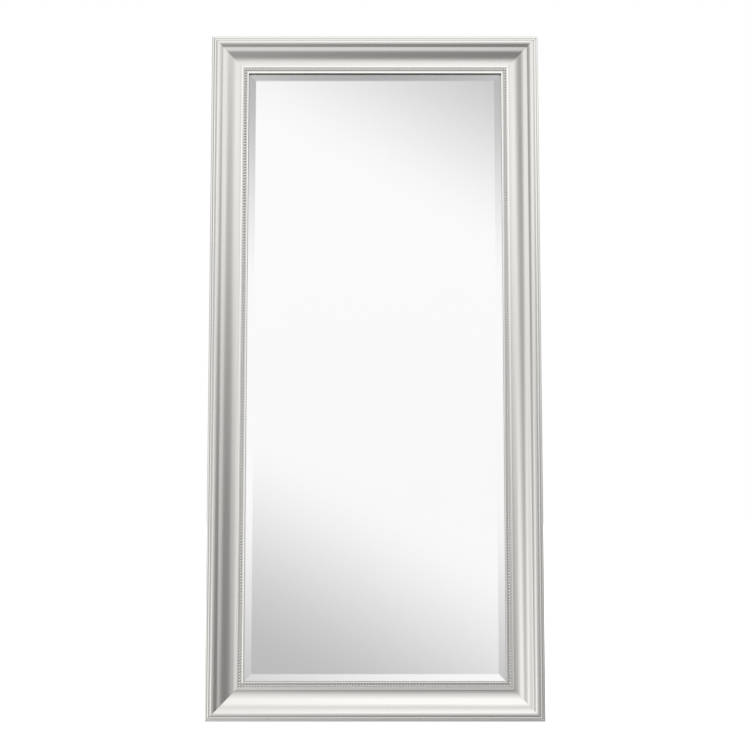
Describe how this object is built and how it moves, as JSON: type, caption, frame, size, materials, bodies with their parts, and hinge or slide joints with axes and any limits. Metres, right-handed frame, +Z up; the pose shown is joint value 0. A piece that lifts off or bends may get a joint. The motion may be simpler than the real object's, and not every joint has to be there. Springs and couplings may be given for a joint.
{
  "type": "leaning floor mirror",
  "caption": "Tall leaning floor mirror: bevelled plate in a wide mitred silver moulding with a beaded sight edge, hanger rings on the back.",
  "frame": {"origin": "centre of the flat face of the bottom rail that the mirror stands on", "axes": "+Z up along the height, -Y out of the mirror's face towards the viewer, +Y towards the wall, +X to the viewer's right"},
  "size_m": [0.8128, 0.048, 1.6764],
  "materials": {
    "silver_frame": "wood moulding in a satin silver leaf finish",
    "silver_beads": "beaded strip in a satin silver leaf finish",
    "mirror": "polished, silvered at the back",
    "card_sheet": "plain",
    "fibreboard": "plain hardboard",
    "bumper_rubber": "matt",
    "nail_steel": "bright",
    "screw_steel": "zinc plated",
    "zinc_steel": "zinc plated",
    "hanger_steel": "nickel plated"
  },
  "bodies": {
    "frame": {"frame_bottom": "silver_frame", "frame_left": "silver_frame", "frame_top": "silver_frame", "frame_right": "silver_frame", "bead_strip_bottom": "silver_beads", "bead_strip_left": "silver_beads", "bead_strip_top": "silver_beads", "bead_strip_right": "silver_beads", "mirror_glass": "mirror", "card_sheet": "card_sheet", "backing_board": "fibreboard", "offset_clips": "zinc_steel", "clip_screws": "screw_steel", "corner_brace_bottom_left": "zinc_steel", "corner_brace_top_left": "zinc_steel", "corner_brace_top_right": "zinc_steel", "corner_brace_bottom_right": "zinc_steel", "brace_screws": "screw_steel", "v_nails": "nail_steel", "hanger_strap_upright_left": "hanger_steel", "hanger_strap_upright_right": "hanger_steel", "hanger_strap_sideways_low": "hanger_steel", "hanger_strap_sideways_high": "hanger_steel", "hanger_screws": "screw_steel", "wall_bumpers": "bumper_rubber"},
    "ring_upright_left": {"hanger_ring_upright_left": "hanger_steel"},
    "ring_upright_right": {"hanger_ring_upright_right": "hanger_steel"},
    "ring_sideways_low": {"hanger_ring_sideways_low": "hanger_steel"},
    "ring_sideways_high": {"hanger_ring_sideways_high": "hanger_steel"}
  },
  "joints": [
    {"name": "ring_upright_left_swing", "type": "hinge", "parent": "frame", "child": "ring_upright_left", "pos_m": [-0.3649, 0.0178, 1.4264], "axis": [1, 0, 0], "range_deg": [0, 180]},
    {"name": "ring_upright_right_swing", "type": "hinge", "parent": "frame", "child": "ring_upright_right", "pos_m": [0.3649, 0.0178, 1.4264], "axis": [1, 0, 0], "range_deg": [0, 180]},
    {"name": "ring_sideways_low_swing", "type": "hinge", "parent": "frame", "child": "ring_sideways_low", "pos_m": [-0.3844, 0.0178, 0.4], "axis": [0, 0, 1], "range_deg": [0, 180]},
    {"name": "ring_sideways_high_swing", "type": "hinge", "parent": "frame", "child": "ring_sideways_high", "pos_m": [-0.3844, 0.0178, 1.2764], "axis": [0, 0, 1], "range_deg": [0, 180]}
  ]
}
